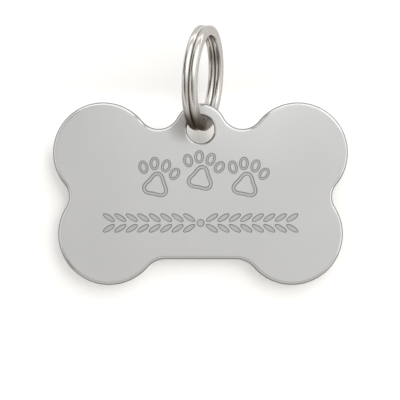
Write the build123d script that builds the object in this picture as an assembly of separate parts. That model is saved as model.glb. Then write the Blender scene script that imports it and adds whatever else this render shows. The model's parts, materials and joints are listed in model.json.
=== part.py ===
from build123d import *
from math import cos, degrees, radians, sin, sqrt, tan
import os

# A bone-shaped metal tag that hangs from a two-turn split ring. Millimetres and degrees.
# +Z is up, +X is to the right, and the tag's front face looks along -Y.
# The origin is the centre of the split ring's loop, which the collar's own ring goes through.

# Tag plate: places in the bone's outline are measured from the centre of its hole.
plate_thickness = 1.5
face_bevel = 0.32
hole_diameter = 3.8
hole_edge_break = 0.12
ear_radius = 3.55
upper_lobe_radius = 6.8
upper_lobe_spacing = 26.4
upper_lobe_drop = 3.1
lower_lobe_radius = 6.9
lower_lobe_spacing = 24.8
lower_lobe_drop = 14.15
bottom_edge_drop = 17.55
top_dip_radius = 2.85
waist_radius = 2.6
bottom_dip_radius = 3.3

# Split ring: flat wire wound twice, with one jog where it steps from one turn to the other.
ring_outer_diameter = 14.3
wire_width = 1.4
wire_thickness = 0.96
wire_corner_radius = 0.42
wire_corner_flats = 3
wire_end_break = 0.12
turn_gap = 0.06
jog_length = 3.6
jog_sections = 9
jog_start_angle = 12
wire_end_gap = 0.35

# How the ring hangs in the hole: a little to one side, turned about Z, and leaned about the hole's axis.
hang_shift = 0.25
ring_yaw = 15.5
ring_lean = 5
hang_clearance = 0.12
cut_overrun = 1

# The wire's middle line, the two turns' places on the ring's axis, and the jog's reach.
wire_radius = (ring_outer_diameter - wire_width) / 2
ring_inner_radius = ring_outer_diameter / 2 - wire_width
turn_offset = (wire_thickness + turn_gap) / 2
jog_angle = degrees(jog_length / wire_radius)
jog_end_angle = jog_start_angle + jog_angle
wire_end_angle = degrees(wire_end_gap / wire_radius)

# The turns' upper outside corner, on the side that they hang to, is just clear of the hole's wall.
yaw = radians(ring_yaw)
corner_radius = wire_corner_radius / cos(yaw)
corner_side_at_middle = (turn_offset + wire_thickness / 2 - wire_corner_radius) / cos(yaw)
corner_side = corner_side_at_middle + plate_thickness / 2 * tan(yaw) + hang_shift
corner_reach = hole_diameter / 2 - hang_clearance - corner_radius
corner_height = sqrt(corner_reach**2 - corner_side**2)
ring_height = corner_height + wire_corner_radius + ring_inner_radius
hole_centre = Vector(hang_shift, 0, -ring_height).rotate(Axis.Y, ring_lean)


def meeting_point(first, first_reach, second, second_reach):
    """The point first_reach from one centre and second_reach from the next, to the left of the way"""
    span = second - first
    along = (first_reach**2 - second_reach**2 + span.length**2) / (2 * span.length)
    across = sqrt(first_reach**2 - along**2)
    direction = span.normalized()
    sideways = Vector(-direction.Y, direction.X)
    return first + direction * along + sideways * across


def touch_point(centre, radius, dip):
    """Where a circle about centre is touched by the round dip that is centred on dip"""
    return centre + (dip - centre).normalized() * radius


def bone_outline():
    """The tag's face: four lobes and an ear over the hole, with a smooth dip between each pair"""
    ear = Vector(0, 0)
    upper = Vector(upper_lobe_spacing / 2, -upper_lobe_drop)
    lower = Vector(lower_lobe_spacing / 2, -lower_lobe_drop)

    upper_reach = upper_lobe_radius + top_dip_radius
    top_dip = meeting_point(ear, ear_radius + top_dip_radius, upper, upper_reach)
    lower_reach = lower_lobe_radius + waist_radius
    waist = meeting_point(upper, upper_lobe_radius + waist_radius, lower, lower_reach)
    dip_height = -bottom_edge_drop - bottom_dip_radius
    dip_reach = lower_lobe_radius + bottom_dip_radius
    dip_side = sqrt(dip_reach**2 - (lower.Y - dip_height) ** 2)
    bottom_dip = Vector(lower.X - dip_side, dip_height)

    stops = [
        touch_point(lower, lower_lobe_radius, bottom_dip),
        touch_point(lower, lower_lobe_radius, waist),
        touch_point(upper, upper_lobe_radius, waist),
        touch_point(upper, upper_lobe_radius, top_dip),
        touch_point(ear, ear_radius, top_dip),
        Vector(0, ear_radius),
    ]
    with BuildSketch(Plane.XZ) as outline:
        with BuildLine():
            curve = Line(Vector(0, -bottom_edge_drop), Vector(bottom_dip.X, -bottom_edge_drop))
            for stop in stops:
                curve = TangentArc(curve @ 1, stop, tangent=curve % 1)
            mirror(about=Plane.YZ)
        make_face()
    return outline.sketch


def tag_plate():
    """The flat tag, bevelled round both faces, with the hole in its ear at the origin"""
    blank = extrude(bone_outline(), amount=plate_thickness / 2, both=True)
    faces = blank.faces().filter_by(Axis.Y).sort_by(Axis.Y)
    plate = chamfer(faces[0].edges() + faces[-1].edges(), face_bevel)
    drill = Rot(X=90) * Cylinder(hole_diameter / 2, plate_thickness + 2 * cut_overrun)
    drilled = plate - drill
    return chamfer(new_edges(plate, drill, combined=drilled), hole_edge_break)


def wire_outline():
    """The points of the flat wire's section, with each corner rounded off in a few flats"""
    across = wire_width / 2 - wire_corner_radius
    along = wire_thickness / 2 - wire_corner_radius
    corners = [(across, along), (-across, along), (-across, -along), (across, -along)]
    points = []
    for quarter, corner in enumerate(corners):
        for flat in range(wire_corner_flats + 1):
            turn = radians(90 * (quarter + flat / wire_corner_flats))
            round_off = Vector(cos(turn), sin(turn)) * wire_corner_radius
            points.append(Vector(corner) + round_off)
    return points


def wire_section(angle, offset):
    """The wire's section at an angle from the ring's lowest point, towards the back"""
    outward = Vector(0, sin(radians(angle)), -cos(radians(angle)))
    forward = Vector(0, cos(radians(angle)), sin(radians(angle)))
    centre = outward * wire_radius + Vector(offset, 0, 0)
    section = Polygon(*wire_outline(), align=None)
    return Plane(origin=centre, x_dir=outward, z_dir=forward) * section


def flat_turn(start, stop, offset, cut_end):
    """One flat turn of wire between two angles, with the sharp edge off its cut end"""
    turn = revolve(wire_section(start, offset), Axis.X, stop - start)
    end_middle = wire_section(cut_end, offset).center()
    end_face = turn.faces().sort_by_distance(end_middle)[0]
    return chamfer(end_face.edges(), wire_end_break)


def jog():
    """The short stretch of wire that steps from the first turn across to the second"""
    sections = []
    for number in range(jog_sections):
        share = number / (jog_sections - 1)
        smooth_share = share**2 * (3 - 2 * share)
        offset = turn_offset - 2 * turn_offset * smooth_share
        sections.append(wire_section(jog_start_angle + share * jog_angle, offset))
    return loft(sections)


def split_ring():
    """Two flat turns about the X axis, the jog between them, and a cut end on each side of it"""
    first_end = jog_end_angle + wire_end_angle
    first = flat_turn(first_end, 360 + jog_start_angle, turn_offset, first_end)
    second_end = 360 + jog_start_angle - wire_end_angle
    second = flat_turn(jog_end_angle, second_end, -turn_offset, second_end)
    return first + jog() + second


nodes = {
    "tag_plate": Pos(hole_centre) * tag_plate(),
    "split_ring": Rot(Y=ring_lean) * Rot(Z=-ring_yaw) * split_ring(),
}

os.makedirs("parts", exist_ok=True)
for name, solid in nodes.items():
    export_step(solid, f"parts/{name}.step")

ring_axis = Vector(1, 0, 0).rotate(Axis.Z, -ring_yaw).rotate(Axis.Y, ring_lean)
print("hole centre", [round(value, 4) for value in hole_centre])
print("ring axis", [round(value, 5) for value in ring_axis])
print("least gap between the turns", turn_gap)
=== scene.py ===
import json
import math

import bmesh
import bpy
from mathutils import Matrix, Vector


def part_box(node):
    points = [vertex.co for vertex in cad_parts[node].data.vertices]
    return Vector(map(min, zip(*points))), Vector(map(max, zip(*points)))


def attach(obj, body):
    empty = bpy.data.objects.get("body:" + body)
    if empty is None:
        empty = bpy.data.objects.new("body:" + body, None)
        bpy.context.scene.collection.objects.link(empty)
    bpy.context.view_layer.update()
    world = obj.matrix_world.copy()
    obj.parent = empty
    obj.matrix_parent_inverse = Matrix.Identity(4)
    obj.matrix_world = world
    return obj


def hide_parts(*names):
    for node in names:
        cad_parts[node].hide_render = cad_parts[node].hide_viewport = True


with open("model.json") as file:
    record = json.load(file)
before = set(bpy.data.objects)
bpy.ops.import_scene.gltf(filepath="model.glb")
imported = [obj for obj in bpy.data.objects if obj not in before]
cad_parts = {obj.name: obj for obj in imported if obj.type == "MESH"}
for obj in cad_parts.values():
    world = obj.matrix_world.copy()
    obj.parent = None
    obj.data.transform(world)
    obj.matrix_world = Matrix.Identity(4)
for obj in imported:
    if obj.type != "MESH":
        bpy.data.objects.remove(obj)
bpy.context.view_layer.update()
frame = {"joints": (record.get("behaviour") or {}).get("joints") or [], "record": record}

# The split ring is one length of flat spring-steel wire, wound twice and pressed flat, with a jog where it
# steps from one turn to the other and a cut end on each side of the jog. It is nickel plated and polished,
# and hangs in the tag's hole, turned a little to the side.
ring_outer_radius = 0.00715
wire_width = 0.0014
wire_thickness = 0.00098
wire_corner_radius = 0.0004
wire_corner_segments = 8
wire_end_break = 0.00012
wire_end_segments = 3
wire_end_gap = 0.00035
turn_gap = 0.00003
turn_steps = 160
jog_length = 0.0016
jog_steps = 20
jog_start_angle = math.radians(33.5)
crease_angle = math.radians(32)

ring_centre = Vector((0, 0, 0))
ring_axis = Vector(frame["record"]["mounts"][0]["axis"])
ring_up = ring_axis.cross(Vector((0, 1, 0))).normalized()
ring_turn = Matrix((ring_axis, ring_up.cross(ring_axis), ring_up)).transposed()
hole_centre = Vector(frame["joints"][0]["pos_m"])
wire_radius = ring_outer_radius - wire_width / 2
turn_offset = (wire_thickness + turn_gap) / 2
jog_angle = jog_length / wire_radius
turn_angle = 2 * math.pi - jog_angle - wire_end_gap / wire_radius

ring_shape = bmesh.new()
section = bmesh.ops.create_grid(ring_shape, x_segments=1, y_segments=1, size=0.5)["verts"]
bmesh.ops.scale(ring_shape, vec=(wire_width, wire_thickness, 1), verts=section)
bmesh.ops.bevel(
    ring_shape, geom=section, offset=wire_corner_radius, segments=wire_corner_segments,
    profile=0.5, affect="VERTICES", material=-1,
)
bmesh.ops.delete(ring_shape, geom=ring_shape.faces[:], context="FACES_ONLY")
lay_flat = Matrix(((0, 1, 0), (0, 0, -1), (-1, 0, 0)))
bmesh.ops.rotate(ring_shape, verts=ring_shape.verts[:], matrix=lay_flat)
bmesh.ops.translate(ring_shape, verts=ring_shape.verts[:], vec=(turn_offset, 0, -wire_radius))
to_first_end = Matrix.Rotation(jog_start_angle - turn_angle, 3, "X")
bmesh.ops.rotate(ring_shape, verts=ring_shape.verts[:], matrix=to_first_end)


def wind(wire_end, angle, steps, step_aside=0.0):
    """Wind the wire's end on round the ring's axis, and return its new end"""
    made = bmesh.ops.spin(
        ring_shape, geom=wire_end, axis=(1, 0, 0), dvec=(step_aside, 0, 0), angle=angle, steps=steps
    )
    return made["geom_last"]


def smooth_share(share):
    """A share of the way, eased so that it starts and ends gently"""
    return share * share * (3 - 2 * share)


wire_end = wind(ring_shape.verts[:] + ring_shape.edges[:], turn_angle, turn_steps)
for number in range(jog_steps):
    climbed_share = smooth_share((number + 1) / jog_steps) - smooth_share(number / jog_steps)
    wire_end = wind(wire_end, jog_angle / jog_steps, 1, -2 * turn_offset * climbed_share)
wind(wire_end, turn_angle, turn_steps)

open_edges = [edge for edge in ring_shape.edges if edge.is_boundary]
wire_ends = bmesh.ops.holes_fill(ring_shape, edges=open_edges, sides=0)["faces"]
bmesh.ops.bevel(
    ring_shape, geom=[edge for face in wire_ends for edge in face.edges], offset=wire_end_break,
    segments=wire_end_segments, profile=0.5, affect="EDGES", material=-1,
)
bmesh.ops.recalc_face_normals(ring_shape, faces=ring_shape.faces[:])
bmesh.ops.rotate(ring_shape, verts=ring_shape.verts[:], matrix=ring_turn)
for face in ring_shape.faces:
    face.smooth = True


class Socket:
    """One output in a material's nodes. Arithmetic on these and on numbers adds Math nodes"""

    def __init__(self, tree, output=None):
        self.tree = tree
        self.output = output

    def node(self, kind, inputs, settings=None, output=0):
        """Add a node, with its settings set first, and return one of its outputs"""
        made = self.tree.nodes.new(kind)
        for name, value in (settings or {}).items():
            setattr(made, name, value)
        for name, value in inputs.items():
            if isinstance(value, Socket):
                self.tree.links.new(value.output, made.inputs[name])
            else:
                made.inputs[name].default_value = value
        return Socket(self.tree, made.outputs[output] if made.outputs else None)

    def maths(self, operation, first, second):
        return self.node("ShaderNodeMath", {0: first, 1: second}, {"operation": operation})

    def __add__(self, other):
        return self.maths("ADD", self, other)

    def __radd__(self, other):
        return self.maths("ADD", other, self)

    def __sub__(self, other):
        return self.maths("SUBTRACT", self, other)

    def __rsub__(self, other):
        return self.maths("SUBTRACT", other, self)

    def __mul__(self, other):
        return self.maths("MULTIPLY", self, other)

    def __rmul__(self, other):
        return self.maths("MULTIPLY", other, self)

    def __abs__(self):
        return self.maths("ABSOLUTE", self, 0.0)

    def between(self, low, high):
        """Rises smoothly from 0 at low to 1 at high"""
        return self.node(
            "ShaderNodeMapRange",
            {"Value": self, "From Min": low, "From Max": high},
            {"interpolation_type": "SMOOTHSTEP"},
        )

    def blend(self, first, second):
        """A colour that goes from first to second as this goes from 0 to 1"""
        first_colour, second_colour, mixed_colour = 6, 7, 2
        return self.node(
            "ShaderNodeMix",
            {"Factor": self, first_colour: first, second_colour: second},
            {"data_type": "RGBA"},
            mixed_colour,
        )

    def place(self):
        """The point on the piece, in the piece's own coordinates"""
        return self.node("ShaderNodeTexCoord", {}, output="Object")

    def vector_value(self, operation, other):
        """One number from this vector and another: how far apart they are, or their dot product"""
        return self.node("ShaderNodeVectorMath", {0: self, 1: other}, {"operation": operation}, "Value")

    def noise(self, scale, detail):
        """Uneven values round a half, over these coordinates"""
        return self.node("ShaderNodeTexNoise", {"Vector": self, "Scale": scale, "Detail": detail})


def new_material(name):
    """An empty material and the socket that its nodes are made from"""
    material = bpy.data.materials.new(name)
    material.use_nodes = True
    material.node_tree.nodes.clear()
    return material, Socket(material.node_tree)


def polished_nickel():
    """Nickel plate with faint haze and drawn lines, worn dull in the hole and painted dark there as shade"""
    bright = (0.6, 0.58, 0.55, 1)
    hazy = (0.55, 0.525, 0.49, 1)
    painted_shade = (0.34, 0.31, 0.28, 1)
    painted_deep_shade = (0.2, 0.178, 0.155, 1)
    painted_groove_light = (0.75, 0.74, 0.72, 1)
    glancing_tint = (0.76, 0.74, 0.72, 1)
    painted_shade_reach = (0.004, 0.0068)
    deep_shade_reach = (0.0034, 0.0062)
    groove_reach = (0.0001, 0.0003)
    groove_heights = (0.0036, 0.0056)
    haze_scale = 260.0
    haze_detail = 4.0
    haze_colour_span = (0.35, 0.7)
    haze_roughness_span = (0.4, 0.75)
    haze_roughness = 0.05
    line_scale = 9000.0
    line_detail = 2.0
    line_span = (0.5, 0.8)
    line_roughness = 0.06
    line_strength = 0.06
    line_depth = 0.00001
    worn_roughness = 0.38
    polish = 0.28

    material, start = new_material("polished_nickel")
    place = start.place()
    aside = place.vector_value("DOT_PRODUCT", ring_axis)
    outwards = place.vector_value("DISTANCE", ring_centre)
    height = start.node("ShaderNodeSeparateXYZ", {"Vector": place}, output="Z")
    from_hole = place.vector_value("DISTANCE", hole_centre)
    across_wire = start.node("ShaderNodeCombineXYZ", {"X": aside, "Y": outwards})
    drawn_lines = across_wire.noise(line_scale, line_detail)
    haze = place.noise(haze_scale, haze_detail)

    # The wire is painted dark as shade towards the hole, deepest inside it, fading out about 7 mm from its
    # centre.
    unshaded = from_hole.between(*painted_shade_reach)
    in_groove = 1 - abs(aside).between(*groove_reach)
    colour = haze.between(*haze_colour_span).blend(bright, hazy)
    # Painted light: the gap between the two turns is painted paler towards the top of the ring.
    colour = (in_groove * height.between(*groove_heights)).blend(colour, painted_groove_light)
    painted_shade_colour = from_hole.between(*deep_shade_reach).blend(painted_deep_shade, painted_shade)
    colour = unshaded.blend(painted_shade_colour, colour)
    roughness = worn_roughness - polish * unshaded
    roughness = roughness + haze_roughness * haze.between(*haze_roughness_span)
    roughness = roughness + line_roughness * drawn_lines.between(*line_span)
    fine_lines = start.node(
        "ShaderNodeBump", {"Height": drawn_lines, "Strength": line_strength, "Distance": line_depth}
    )
    surface = start.node(
        "ShaderNodeBsdfPrincipled",
        {
            "Base Color": colour,
            "Roughness": roughness,
            "Metallic": 1.0,
            "Normal": fine_lines,
            "Specular Tint": glancing_tint,
        },
    )
    start.node("ShaderNodeOutputMaterial", {"Surface": surface})
    return material


def finish_piece(name, shape, material):
    """Make an object of a bmesh and give it its material"""
    mesh = bpy.data.meshes.new(name)
    shape.to_mesh(mesh)
    shape.free()
    mesh.materials.append(material)
    piece = bpy.data.objects.new(name, mesh)
    bpy.context.scene.collection.objects.link(piece)
    return piece


split_ring = finish_piece("split_ring_wire", ring_shape, polished_nickel())
split_ring.data.set_sharp_from_angle(angle=crease_angle)
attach(split_ring, "ring")
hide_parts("split_ring")

# The tag is one plate of stainless steel, stamped to the outline of a bone, bevelled round both faces and
# drilled through its ear. Its faces are satin and its bevels bright, and its pattern is cut into the front.
# Its outline is drawn from the centre of the hole, and the finished plate is then put in its place.
plate_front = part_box("tag_plate")[0][1]
plate_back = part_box("tag_plate")[1][1]
face_bevel = 0.00042
inner_softness = 0.00004
outer_softness = 0.00016
edge_segments = 4
ear_radius = 0.00355
upper_lobe_radius = 0.0068
upper_lobe = Vector((0.0132, -0.0031))
lower_lobe_radius = 0.0069
lower_lobe = Vector((0.0124, -0.01415))
bottom_edge = -0.01755
top_dip_radius = 0.00285
waist_radius = 0.0026
bottom_dip_radius = 0.0033
outline_step = 0.00022
merge_reach = 0.000022
on_a_face = 0.000005
hole_radius = 0.00187
hole_steps = 96
hole_break_width = 0.00028
hole_break_depth = 0.0001
hole_break_softness = 0.00002
lip_width = 0.0001
lip_depth = 0.0003
lip_softness = 0.00001
lip_painted_shade = 0.75
fine_crease = math.radians(16)
flat_share = 0.9999


def meeting_point(first, first_reach, second, second_reach):
    """The point at those reaches from two centres, to the left of the way between them"""
    span = second - first
    along = (first_reach**2 - second_reach**2 + span.length_squared) / (2 * span.length)
    across = math.sqrt(first_reach**2 - along**2)
    direction = span.normalized()
    return first + direction * along + Vector((-direction.y, direction.x)) * across


def draw_arc(shape, tip, centre, turn, end):
    """Draw an arc on from the loop's tip round a centre, to the point that lies that way from it"""
    start_angle = math.atan2(tip.co.z - centre.y, tip.co.x - centre.x)
    end_angle = math.atan2(end.y - centre.y, end.x - centre.x)
    sweep = turn * ((turn * (end_angle - start_angle)) % (2 * math.pi))
    radius = math.hypot(tip.co.x - centre.x, tip.co.z - centre.y)
    steps = max(2, math.ceil(radius * abs(sweep) / outline_step))
    arc = bmesh.ops.spin(
        shape, geom=[tip], cent=(centre.x, tip.co.y, centre.y), axis=(0, -1, 0), angle=sweep, steps=steps
    )
    return [item for item in arc["geom_last"] if isinstance(item, bmesh.types.BMVert)][0]


def draw_bone(shape, depth):
    """Draw the tag's outline on the plane at that depth, and return its loop of edges"""
    ear = Vector((0, 0))
    top_dip = meeting_point(
        ear, ear_radius + top_dip_radius, upper_lobe, upper_lobe_radius + top_dip_radius
    )
    waist = meeting_point(
        upper_lobe, upper_lobe_radius + waist_radius, lower_lobe, lower_lobe_radius + waist_radius
    )
    dip_height = bottom_edge - bottom_dip_radius
    dip_side = math.sqrt((lower_lobe_radius + bottom_dip_radius) ** 2 - (lower_lobe.y - dip_height) ** 2)
    bottom_dip = Vector((lower_lobe.x - dip_side, dip_height))

    old_edges = set(shape.edges)
    middle = shape.verts.new((0, depth, bottom_edge))
    tip = shape.verts.new((bottom_dip.x, depth, bottom_edge))
    shape.edges.new((middle, tip))
    tip = draw_arc(shape, tip, bottom_dip, -1, lower_lobe)
    tip = draw_arc(shape, tip, lower_lobe, 1, waist)
    tip = draw_arc(shape, tip, waist, -1, upper_lobe)
    tip = draw_arc(shape, tip, upper_lobe, 1, top_dip)
    tip = draw_arc(shape, tip, top_dip, -1, ear)
    draw_arc(shape, tip, ear, 1, Vector((0, ear_radius)))
    half = [edge for edge in shape.edges if edge not in old_edges]
    half_ends = list(dict.fromkeys(end for edge in half for end in edge.verts))
    bmesh.ops.mirror(shape, geom=half + half_ends, merge_dist=merge_reach, axis="X")
    return [edge for edge in shape.edges if edge not in old_edges]


def under_face(vert):
    """How far a vertex lies under the nearer of the plate's two faces"""
    return min(abs(vert.co.y - plate_front), abs(vert.co.y - plate_back))


tag_shape = bmesh.new()
bevelled = tag_shape.verts.layers.float.new("bevelled")
painted_cut_shade = tag_shape.verts.layers.float.new("painted_cut_shade")
front_loop = draw_bone(tag_shape, plate_front)
back_loop = draw_bone(tag_shape, plate_back)
bmesh.ops.bridge_loops(tag_shape, edges=front_loop + back_loop)
bmesh.ops.edgeloop_fill(tag_shape, edges=front_loop)
bmesh.ops.edgeloop_fill(tag_shape, edges=back_loop)
bmesh.ops.recalc_face_normals(tag_shape, faces=tag_shape.faces[:])
bmesh.ops.bevel(
    tag_shape, geom=front_loop + back_loop, offset=face_bevel, segments=1, profile=0.5,
    affect="EDGES", material=-1,
)
rims = [edge for edge in tag_shape.edges if edge.is_manifold and edge.calc_face_angle() > crease_angle]
inner_rims = [edge for edge in rims if under_face(edge.verts[0]) < on_a_face]
outer_rims = [edge for edge in rims if edge not in inner_rims]
for rim_edges, softness in ((inner_rims, inner_softness), (outer_rims, outer_softness)):
    bmesh.ops.bevel(
        tag_shape, geom=rim_edges, offset=softness, segments=edge_segments, profile=0.5,
        affect="EDGES", material=-1,
    )
broad_faces = sorted(tag_shape.faces, key=lambda face: face.calc_area())[-2:]
bmesh.ops.delete(tag_shape, geom=broad_faces, context="FACES_ONLY")

# The hole's edge has a shallow break and a steep lip, painted dark as shade: how far each corner stands out
# from the hole's wall, how far it lies under the face, and how much painted shade it has.
hole_profile = [
    (hole_break_width, 0, 0.0),
    (hole_break_width - hole_break_softness, hole_break_softness / 2, 0.0),
    (lip_width, hole_break_depth - lip_softness, 0.0),
    (lip_width - lip_softness, hole_break_depth, lip_painted_shade),
    (0, lip_depth, lip_painted_shade),
]
hole_wall = []
for face_depth, inwards in ((plate_front, 1), (plate_back, -1)):
    for stand, depth, darkness in hole_profile[::inwards]:
        corner = tag_shape.verts.new((hole_radius + stand, face_depth + inwards * depth, 0))
        corner[painted_cut_shade] = darkness
        hole_wall.append(corner)
wall_edges = [tag_shape.edges.new(ends) for ends in zip(hole_wall, hole_wall[1:])]
bmesh.ops.spin(
    tag_shape, geom=hole_wall + wall_edges, axis=(0, 1, 0), angle=2 * math.pi, steps=hole_steps,
    use_merge=True,
)
for vert in tag_shape.verts:
    if under_face(vert) > on_a_face:
        vert[bevelled] = 1.0
open_loops = [edge for edge in tag_shape.edges if edge.is_boundary]
front_edges = [edge for edge in open_loops if abs(edge.verts[0].co.y - plate_front) < on_a_face]
back_edges = [edge for edge in open_loops if abs(edge.verts[0].co.y - plate_back) < on_a_face]

# The pattern on the tag's front is cut by an engraver's tool: a row of paw prints, each pad and toe a narrow
# cut with shade painted dark down both its walls, and under it a sprig of leaves, each a shallow pocket.
face_plane = Matrix.Translation((0, plate_front, 0)) @ Matrix.Rotation(math.radians(90), 4, "X")
groove_depth = 0.0001
groove_wall = 0.00008
groove_edge = 0.0001
groove_floor = 0.00016
fine_wall = 0.00007
fine_edge = 0.00009
toe_floor = 0.00007
# Shade painted on the cuts: dark down their walls, and lighter on the floors of the pads, toes and leaves.
wall_painted_shade = 1.0
floor_painted_shade = 0.2
leaf_painted_shade = 0.25
paw_steps = 44
paw_row_drop = -0.0072
paw_rises = (-0.0004, 0.0005, -0.0004)
paw_spacing = 0.00605
paw_turn = math.radians(-12)
pad_radius = 0.00165
pad_corners = 3
pad_lift_share = 0.16
toe_shape = (0.00067, 0.00092)
toe_reach = 0.003
toe_angles = (-46, -15.5, 15.5, 46)
toe_lean_share = 0.55
sprig_drop = -0.01265
sprig_leaves = 8
sprig_spacing = 0.00155
leaf_steps = 20
leaf_shape = (0.00037, 0.00095)
leaf_lean = math.radians(58)
leaf_stand = 0.00072
seed_radius = 0.00055


def cut_outline(steps, x, z, turn, width, height):
    """A round outline on the tag's front, ready to be cut, with its centre, its turn and its half sizes"""
    stretch = Matrix.Diagonal((width, height, 1, 1))
    spot = Matrix.Translation((x, z, 0)) @ Matrix.Rotation(turn, 4, "Z") @ stretch
    made = bmesh.ops.create_circle(
        tag_shape, cap_ends=True, radius=1, segments=steps, matrix=face_plane @ spot
    )
    return made["verts"]


pads = []
toes = []
leaves = []
for number, rise in enumerate(paw_rises):
    paw_x = (number - len(paw_rises) // 2) * paw_spacing
    paw_z = paw_row_drop + rise
    pad_centre = Vector((paw_x, plate_front, paw_z))
    pad = cut_outline(paw_steps, paw_x, paw_z, paw_turn, pad_radius, pad_radius)
    for vert in pad:
        outwards = vert.co - pad_centre
        around = math.atan2(outwards.z, outwards.x) - paw_turn
        lift_share = pad_lift_share * math.sin(pad_corners * around + math.pi)
        vert.co = pad_centre + outwards * (1 + lift_share)
    pads.append(pad)
    for angle in toe_angles:
        toe_turn = paw_turn - math.radians(angle)
        toe_x = paw_x - toe_reach * math.sin(toe_turn)
        toe_z = paw_z + toe_reach * math.cos(toe_turn)
        toe_lean = paw_turn - math.radians(angle) * toe_lean_share
        toes.append(cut_outline(paw_steps, toe_x, toe_z, toe_lean, *toe_shape))
leaves.append(cut_outline(leaf_steps, 0, sprig_drop, 0, seed_radius, seed_radius))
for side in (-1, 1):
    for number in range(sprig_leaves):
        leaf_x = side * (number + 1) * sprig_spacing
        for above in (-1, 1):
            leaf_z = sprig_drop + above * leaf_stand
            leaves.append(cut_outline(leaf_steps, leaf_x, leaf_z, -side * above * leaf_lean, *leaf_shape))


def outline_face(outline):
    """The face inside an outline, turned to the front"""
    face = [face for face in outline[0].link_faces if len(face.verts) == len(outline)][0]
    face.normal_update()
    if face.normal.y > 0:
        face.normal_flip()
    return face


def groove_cuts(wall, edge, floor):
    """The steps of a cut, as widths, depths and painted shade: down its wall, across its floor and up again
    """
    going_in = [(wall, groove_depth, wall_painted_shade), (edge, 0, floor_painted_shade)]
    coming_out = [(floor, 0, floor_painted_shade), (edge, 0, wall_painted_shade), (wall, -groove_depth, 0.0)]
    return going_in + coming_out


pad_faces = [outline_face(outline) for outline in pads]
toe_faces = [outline_face(outline) for outline in toes]
leaf_faces = [outline_face(outline) for outline in leaves]
outline_edges = [edge for face in pad_faces + toe_faces + leaf_faces for edge in face.edges]
bmesh.ops.triangle_fill(
    tag_shape, use_beauty=True, edges=front_edges + outline_edges, normal=(0, -1, 0)
)
bmesh.ops.triangle_fill(tag_shape, use_beauty=True, edges=back_edges, normal=(0, 1, 0))
pad_cuts = groove_cuts(groove_wall, groove_edge, groove_floor)
toe_cuts = groove_cuts(fine_wall, fine_edge, toe_floor)
leaf_cuts = [(fine_wall, groove_depth, wall_painted_shade), (fine_edge, 0, leaf_painted_shade)]
for faces, cuts in ((pad_faces, pad_cuts), (toe_faces, toe_cuts), (leaf_faces, leaf_cuts)):
    for face in faces:
        for width, depth, darkness in cuts:
            bmesh.ops.inset_region(
                tag_shape, faces=[face], thickness=width, depth=-depth,
                use_boundary=True, use_even_offset=True,
            )
            for vert in face.verts:
                vert[painted_cut_shade] = darkness

bmesh.ops.recalc_face_normals(tag_shape, faces=tag_shape.faces[:])
bmesh.ops.translate(tag_shape, verts=tag_shape.verts[:], vec=hole_centre)
for face in tag_shape.faces:
    face.smooth = True
for edge in tag_shape.edges:
    flat = [abs(face.normal.y) > flat_share for face in edge.link_faces]
    edge.smooth = len(set(flat)) == 1 and edge.calc_face_angle() < fine_crease


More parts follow.
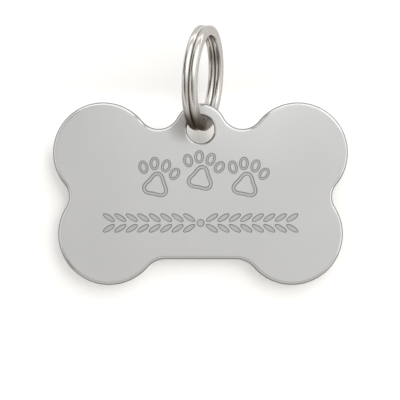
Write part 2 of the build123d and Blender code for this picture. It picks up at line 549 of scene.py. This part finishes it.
def satin_steel():
    """Brushed steel with bright bevels, a rough stamped wall, and shade painted on the wall, bevels, cuts
    and ear
    """
    dark = (0.6, 0.6, 0.592, 1)
    light = (0.625, 0.625, 0.617, 1)
    painted_shade = (0.42, 0.41, 0.4, 1)
    cut = (0.23, 0.23, 0.226, 1)
    edge_painted_shade = (0.5, 0.5, 0.495, 1)
    sheared_and_shaded = (0.235, 0.235, 0.23, 1)
    ring_shadow_place = hole_centre + Vector((-0.0024, plate_front, 0.0003))
    painted_shade_reach = (0.0004, 0.0027)
    hole_reach = (0.0022, 0.0028)
    sheared_depths = (0.00046, 0.00051)
    edge_shade_depths = (0.00066, 0.0007)
    brush_stretch = (1.0, 1.0, 9.0)
    grain_scale = 1400.0
    grain_detail = 4.0
    grain_middle = 0.5
    grain_roughness = 0.05
    drag_stretch = (1.0, 0.06, 1.0)
    drag_scale = 7000.0
    drag_detail = 2.0
    drag_roughness = 0.2
    drag_height = 2
    cloud_scale = 95.0
    cloud_detail = 3.0
    cloud_span = (0.3, 0.7)
    cloud_roughness = 0.06
    satin_roughness = 0.45
    sheared_roughness = 0.1
    bevel_polish = 0.25
    grain_strength = 0.05
    grain_depth = 0.00001

    material, start = new_material("satin_steel")
    place = start.place()
    bevel_mask = start.node("ShaderNodeAttribute", {}, {"attribute_name": "bevelled"}, "Fac")
    cut_shade_mask = start.node("ShaderNodeAttribute", {}, {"attribute_name": "painted_cut_shade"}, "Fac")
    from_middle = abs(start.node("ShaderNodeSeparateXYZ", {"Vector": place}, output="Y"))
    from_hole = place.vector_value("DISTANCE", hole_centre)
    from_ring_shadow = place.vector_value("DISTANCE", ring_shadow_place)
    brushed = start.node("ShaderNodeMapping", {"Vector": place, "Scale": brush_stretch})
    grain = brushed.noise(grain_scale, grain_detail)
    dragged = start.node("ShaderNodeMapping", {"Vector": place, "Scale": drag_stretch})
    drag_lines = dragged.noise(drag_scale, drag_detail)
    clouds = place.noise(cloud_scale, cloud_detail).between(*cloud_span)

    sheared_mask = 1 - from_middle.between(*sheared_depths)
    # Painted shade: a strip of the bevels just under the faces, away from the hole, is painted darker.
    edge_shade_mask = bevel_mask * from_middle.between(*edge_shade_depths) * from_hole.between(*hole_reach)
    # Painted shadow: the ring's shadow is painted on the ear's face, to the left of the hole.
    ring_shadow_mask = (1 - bevel_mask) * (1 - from_ring_shadow.between(*painted_shade_reach))
    colour = clouds.blend(dark, light)
    colour = ring_shadow_mask.blend(colour, painted_shade)
    # Painted shade: the cuts and the hole's lip are darkened by the share that their corners hold.
    colour = cut_shade_mask.blend(colour, cut)
    colour = edge_shade_mask.blend(colour, edge_painted_shade)
    # The side wall is rough from the stamping, and its colour is painted dark as shade, giving the plate a
    # dark outline.
    colour = sheared_mask.blend(colour, sheared_and_shaded)
    roughness = satin_roughness + cloud_roughness * clouds
    roughness = roughness + grain_roughness * (grain - grain_middle) - bevel_polish * bevel_mask
    roughness = roughness + sheared_mask * (sheared_roughness + drag_roughness * drag_lines)
    rough_height = grain + drag_height * sheared_mask * drag_lines
    fine_lines = start.node(
        "ShaderNodeBump", {"Height": rough_height, "Strength": grain_strength, "Distance": grain_depth}
    )
    surface = start.node(
        "ShaderNodeBsdfPrincipled",
        {"Base Color": colour, "Roughness": roughness, "Metallic": 1.0, "Normal": fine_lines},
    )
    start.node("ShaderNodeOutputMaterial", {"Surface": surface})
    return material


tag = finish_piece("bone_tag", tag_shape, satin_steel())
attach(tag, "tag")
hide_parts("tag_plate")

# The studio has a pale floor, which only throws light back up, and a sheet of white paper, which shows only
# to the camera. The paper hangs close behind the tag, bends back behind the ring and takes their soft
# shadow. Light and dark cards, which show only in the metal, give its edges their bright and dark lines.
floor_height = -0.2
floor_size = (3, 3)
floor_colour = (0.8, 0.785, 0.765, 1)
paper_size = (0.4, 0.4)
paper_rows = 400
paper_near = 0.0013
paper_far = 0.0105
bend_low = -0.012
bend_high = -0.001
facing_up = Matrix.Identity(4)
facing_front = Matrix.Rotation(math.radians(90), 4, "X")
facing_back = Matrix.Rotation(math.radians(-90), 4, "X")


def studio_sheet(name, size, rows, turn, middle, material):
    """A flat sheet of the studio, turned and put in place"""
    spread = Matrix.Translation(middle) @ turn @ Matrix.Diagonal((*size, 1, 1))
    shape = bmesh.new()
    bmesh.ops.create_grid(shape, x_segments=1, y_segments=rows, size=0.5, matrix=spread)
    sheet = finish_piece(name, shape, material)
    return sheet


def pale_floor():
    """Plain matte paint"""
    material, start = new_material("pale_floor")
    matte = start.node("ShaderNodeBsdfDiffuse", {"Color": floor_colour})
    start.node("ShaderNodeOutputMaterial", {"Surface": matte})
    return material


def white_paper():
    """Matte paper that glows faintly, is painted darker as shade behind the hole and isn't there from its
    back
    """
    unshaded = (0.86, 0.85, 0.835, 1)
    shaded = (0.66, 0.635, 0.6, 1)
    shaded_place = hole_centre + Vector((0, 0.0045, 0))
    shaded_reach = (0.002, 0.0045)
    glow_colour = (1.0, 0.97, 0.93, 1)
    glow_strength = 0.15

    material, start = new_material("white_paper")
    from_shade = start.place().vector_value("DISTANCE", shaded_place)
    lit = start.node(
        "ShaderNodeBsdfPrincipled",
        {
            "Base Color": from_shade.between(*shaded_reach).blend(shaded, unshaded),
            "Roughness": 1.0,
            "Specular IOR Level": 0.0,
            "Emission Color": glow_colour,
            "Emission Strength": glow_strength,
        },
    )
    behind = start.node("ShaderNodeNewGeometry", {}, output="Backfacing")
    open_air = start.node("ShaderNodeBsdfTransparent", {})
    one_sided = start.node("ShaderNodeMixShader", {"Fac": behind, 1: lit, 2: open_air})
    start.node("ShaderNodeOutputMaterial", {"Surface": one_sided})
    return material


floor = studio_sheet("floor", floor_size, 1, facing_up, (0, 0, floor_height), pale_floor())
floor.visible_camera = False
floor.visible_glossy = False
paper = studio_sheet("paper_sheet", paper_size, paper_rows, facing_front, ring_centre, white_paper())
for vert in paper.data.vertices:
    bend_share = min(max((vert.co.z - bend_low) / (bend_high - bend_low), 0), 1)
    vert.co.y = paper_near + (paper_far - paper_near) * smooth_share(bend_share)
for face in paper.data.polygons:
    face.use_smooth = True
paper.visible_glossy = False
paper.visible_diffuse = False
paper.visible_transmission = False
paper.visible_shadow = False


def metal_card(name, middle, turn, size, colour, fade_reach, fade_from):
    """A one-sided card that shows only in the metal, and fades away round a point"""
    material, start = new_material(name)
    faded = start.place().vector_value("DISTANCE", fade_from).between(*fade_reach)
    behind = start.node("ShaderNodeNewGeometry", {}, output="Backfacing")
    glow = start.node("ShaderNodeEmission", {"Color": colour})
    open_air = start.node("ShaderNodeBsdfTransparent", {})
    gone = start.maths("MAXIMUM", behind, faded)
    surface = start.node("ShaderNodeMixShader", {"Fac": gone, 1: glow, 2: open_air})
    start.node("ShaderNodeOutputMaterial", {"Surface": surface})
    card = studio_sheet(name, size, 1, turn, middle, material)
    card.visible_camera = False
    card.visible_diffuse = False
    card.visible_shadow = False


def facing_ring(middle):
    """The turn of a card that looks at the ring's centre"""
    return (ring_centre - middle).to_track_quat("Z", "Y").to_matrix().to_4x4()


def white(brightness):
    return (brightness, brightness, brightness, 1)


# The cards round the room: each one's name, middle, size and colour, and how far from its middle its fade
# starts and ends.
dark_brown = (0.2, 0.175, 0.15, 1)
pale_brown = (0.5, 0.47, 0.43, 1)
dark_grey = (0.42, 0.39, 0.36, 1)
middle_grey = (0.45, 0.43, 0.4, 1)
warm_grey = (0.72, 0.69, 0.65, 1)
light_grey = (0.8, 0.78, 0.75, 1)
room_cards = [
    ("key_card", (0.28, -0.4, 0.35), (0.9, 0.9), white(2.05), (0.12, 0.4)),
    ("top_card", (0, 0.04, 0.5), (0.7, 0.12), white(1.75), (0.25, 0.6)),
    ("corner_card", (0.4, 0.04, 0.4), (0.12, 0.5), white(2.1), (0.3, 0.6)),
    ("right_card", (0.55, 0.05, 0), (0.12, 0.5), white(1.5), (0.25, 0.6)),
    ("left_card", (-0.19, 0.04, -0.23), (0.2, 0.5), middle_grey, (0.05, 0.24)),
    ("side_card", (-0.205, -0.34, -0.12), (0.13, 1.2), dark_brown, (0.2, 0.5)),
    ("low_card", (0.02, -0.28, -0.26), (0.6, 0.5), warm_grey, (0.1, 0.3)),
    ("under_card", (0, 0.04, -0.14), (0.3, 0.14), light_grey, (0.1, 0.2)),
    ("back_card", (0, 0.15, -0.19), (0.3, 0.3), dark_grey, (0.12, 0.2)),
    ("dark_card", (-0.03, -0.018, 0.017), (0.03, 0.036), dark_brown, (0.012, 0.02)),
]
for name, place, size, colour, fade_reach in room_cards:
    middle = Vector(place)
    metal_card(name, middle, facing_ring(middle), size, colour, fade_reach, middle)

# Four small cards close to the ring: a white one in front of it, and brown ones in the hole, on the tag's
# face and over the ear: painted shade for its lowest stretch of wire to reflect.
ring_card_middle = Vector((0.001, -0.02, 0.021))
ring_card_size = (0.0215, 0.06)
ring_card_fade = (0.018, 0.027)
hole_card_size = (0.0038, 0.0038)
hole_card_fade = (0.004, 0.005)
face_card_stand = 0.0003
face_card_middle = hole_centre + Vector((-0.001, plate_front - face_card_stand, -0.0105))
face_card_size = (0.012, 0.022)
face_card_fade = (0.002, 0.018)
loop_card_rise = 0.0005
loop_card_middle = Vector((0, 0.0025, hole_centre.z + ear_radius + loop_card_rise))
loop_card_size = (0.008, 0.006)
loop_card_fade = (0.001, 0.006)
metal_card(
    "ring_card", ring_card_middle, facing_back, ring_card_size, white(1.8), ring_card_fade, ring_card_middle
)
metal_card("hole_shade_card", hole_centre, facing_front, hole_card_size, pale_brown, hole_card_fade, hole_centre)
metal_card(
    "face_shade_card", face_card_middle, facing_front, face_card_size, dark_brown, face_card_fade, hole_centre
)
metal_card(
    "loop_shade_card", loop_card_middle, facing_up, loop_card_size, dark_brown, loop_card_fade, loop_card_middle
)

# The room is white to the camera and in the metal, and a little dimmer as a light.
room_light = 0.78
room = bpy.data.worlds.new("white_room")
room.use_nodes = True
room.node_tree.nodes.clear()
bpy.context.scene.world = room
room_start = Socket(room.node_tree)
camera_ray = room_start.node("ShaderNodeLightPath", {}, output="Is Camera Ray")
glossy_ray = room_start.node("ShaderNodeLightPath", {}, output="Is Glossy Ray")
glass_ray = room_start.node("ShaderNodeLightPath", {}, output="Is Transmission Ray")
room_level = room_start.maths("MAXIMUM", camera_ray + glossy_ray + glass_ray, room_light)
sky = room_start.node("ShaderNodeBackground", {"Color": white(1), "Strength": room_level})
room_start.node("ShaderNodeOutputWorld", {"Surface": sky})

# The lamp is one large soft box in front of the tag, above it and to its right.
lamp_place = Vector((0.31, -0.37, 0.35))
lamp_width = 0.5
lamp_height = 0.9
lamp_brightness = 2.0
lamp_data = bpy.data.lights.new("key_lamp", "AREA")
lamp_data.shape = "RECTANGLE"
lamp_data.size = lamp_width
lamp_data.size_y = lamp_height
lamp_data.energy = lamp_brightness * math.pi * lamp_width * lamp_height
lamp = bpy.data.objects.new("key_lamp", lamp_data)
lamp.location = lamp_place
lamp.rotation_euler = (hole_centre - lamp_place).to_track_quat("-Z", "Y").to_euler()
lamp.visible_camera = False
lamp.visible_glossy = False
bpy.context.scene.collection.objects.link(lamp)

# The camera looks straight at the tag's front, a little below the hole, as the photograph does.
view_width = 0.0541
view_distance = 0.2
film_width = 36
clip_share = 0.01
view_middle = hole_centre + Vector((-0.00007, plate_front, -0.00954))
camera_data = bpy.data.cameras.new("camera")
camera_data.sensor_width = film_width
camera_data.lens = film_width * view_distance / view_width
camera_data.clip_start = view_distance * clip_share
camera = bpy.data.objects.new("camera", camera_data)
camera.location = view_middle - Vector((0, view_distance, 0))
camera.rotation_euler = (math.radians(90), 0, 0)
bpy.context.scene.collection.objects.link(camera)
bpy.context.scene.camera = camera
bpy.context.scene.view_settings.view_transform = "Standard"
